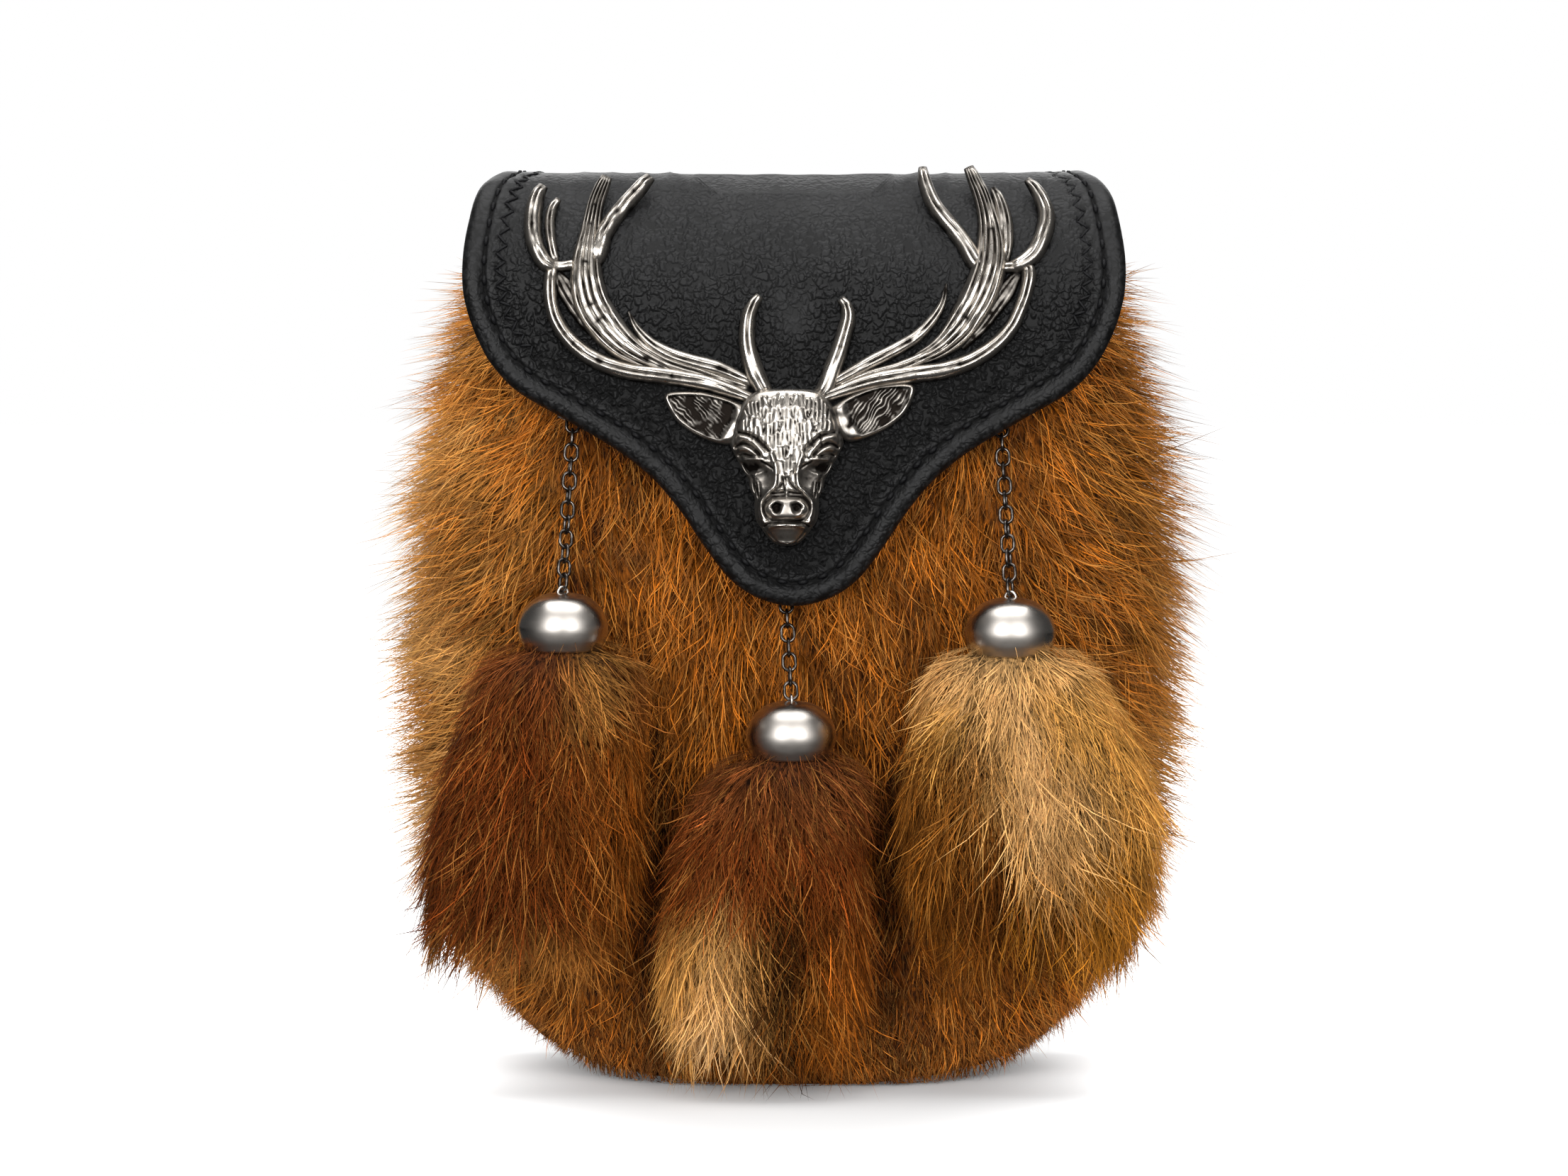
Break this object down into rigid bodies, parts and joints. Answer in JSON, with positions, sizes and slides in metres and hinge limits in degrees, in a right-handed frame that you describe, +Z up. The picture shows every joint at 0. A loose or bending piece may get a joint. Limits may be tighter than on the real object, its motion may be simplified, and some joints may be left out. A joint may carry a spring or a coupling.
{
  "type": "sporran pouch",
  "caption": "Upright fur pouch with a pointed leather flap, a cast stag badge, and tassels that hang on chains in front.",
  "frame": {"origin": "middle of the pouch's flat footprint, on the surface that it stands on", "axes": "+Z up, +Y towards the back, which lies on the wearer, +X to the right as seen from the front"},
  "size_m": [0.175, 0.0773, 0.1949],
  "materials": {
    "black_leather": "pebbled, satin",
    "pouch_fur": "deep fur, golden at its edges",
    "dark_fur": "deep fur",
    "tan_fur": "deep fur",
    "antique_silver": "cast, darkened in its recesses",
    "polished_silver": "polished",
    "gunmetal": "dark, bright at its edges"
  },
  "bodies": {
    "root": {"fur_pouch": "pouch_fur", "back_panel": "black_leather", "flap_panel": "black_leather", "flap_piping": "black_leather", "belt_loop_left": "black_leather", "belt_loop_right": "black_leather", "stag_badge": "antique_silver", "chain_left": "gunmetal", "chain_centre": "gunmetal", "chain_right": "gunmetal", "staple_left": "gunmetal", "staple_centre": "gunmetal", "staple_right": "gunmetal", "cap_left": "polished_silver", "cap_centre": "polished_silver", "cap_right": "polished_silver", "tassel_left": "dark_fur", "tassel_centre": "dark_fur", "tassel_right": "tan_fur"}
  },
  "joints": []
}
